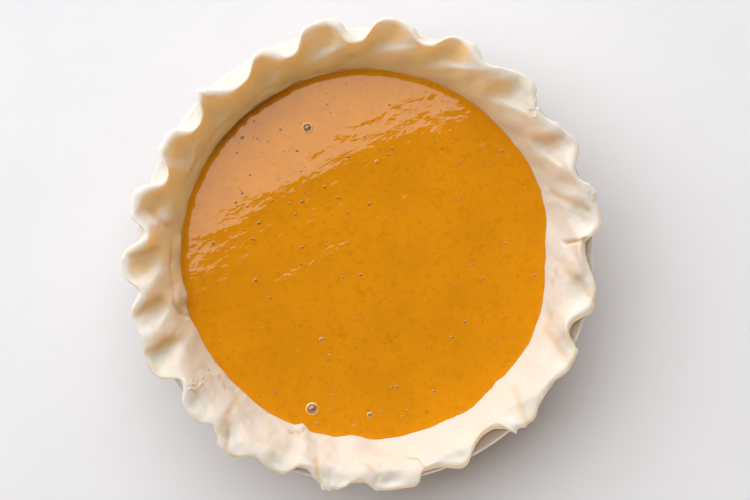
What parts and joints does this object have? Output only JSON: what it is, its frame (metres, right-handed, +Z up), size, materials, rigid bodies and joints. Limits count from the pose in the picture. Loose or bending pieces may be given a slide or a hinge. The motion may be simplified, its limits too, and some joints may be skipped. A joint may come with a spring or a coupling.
{
  "type": "pumpkin pie",
  "caption": "Round uncut custard pie in its own shallow sloping dish, with a slanted pinched pastry rim standing above a level filling.",
  "frame": {"origin": "centre of the dish's flat base, on the surface that it stands on", "axes": "+Z up through the middle of the pie, +X to the right and +Y away as seen by someone standing at the pie"},
  "size_m": [0.2599, 0.2563, 0.06],
  "materials": {
    "dish_glaze": "off-white stoneware under a clear gloss glaze",
    "pastry": "raw buttery shortcrust dough, matt with a faint sheen, tan in its folds",
    "custard": "wet glossy spiced squash custard with fine brown specks and a few bubbles"
  },
  "bodies": {
    "root": {"dish": "dish_glaze", "crust": "pastry", "filling": "custard"}
  },
  "joints": []
}
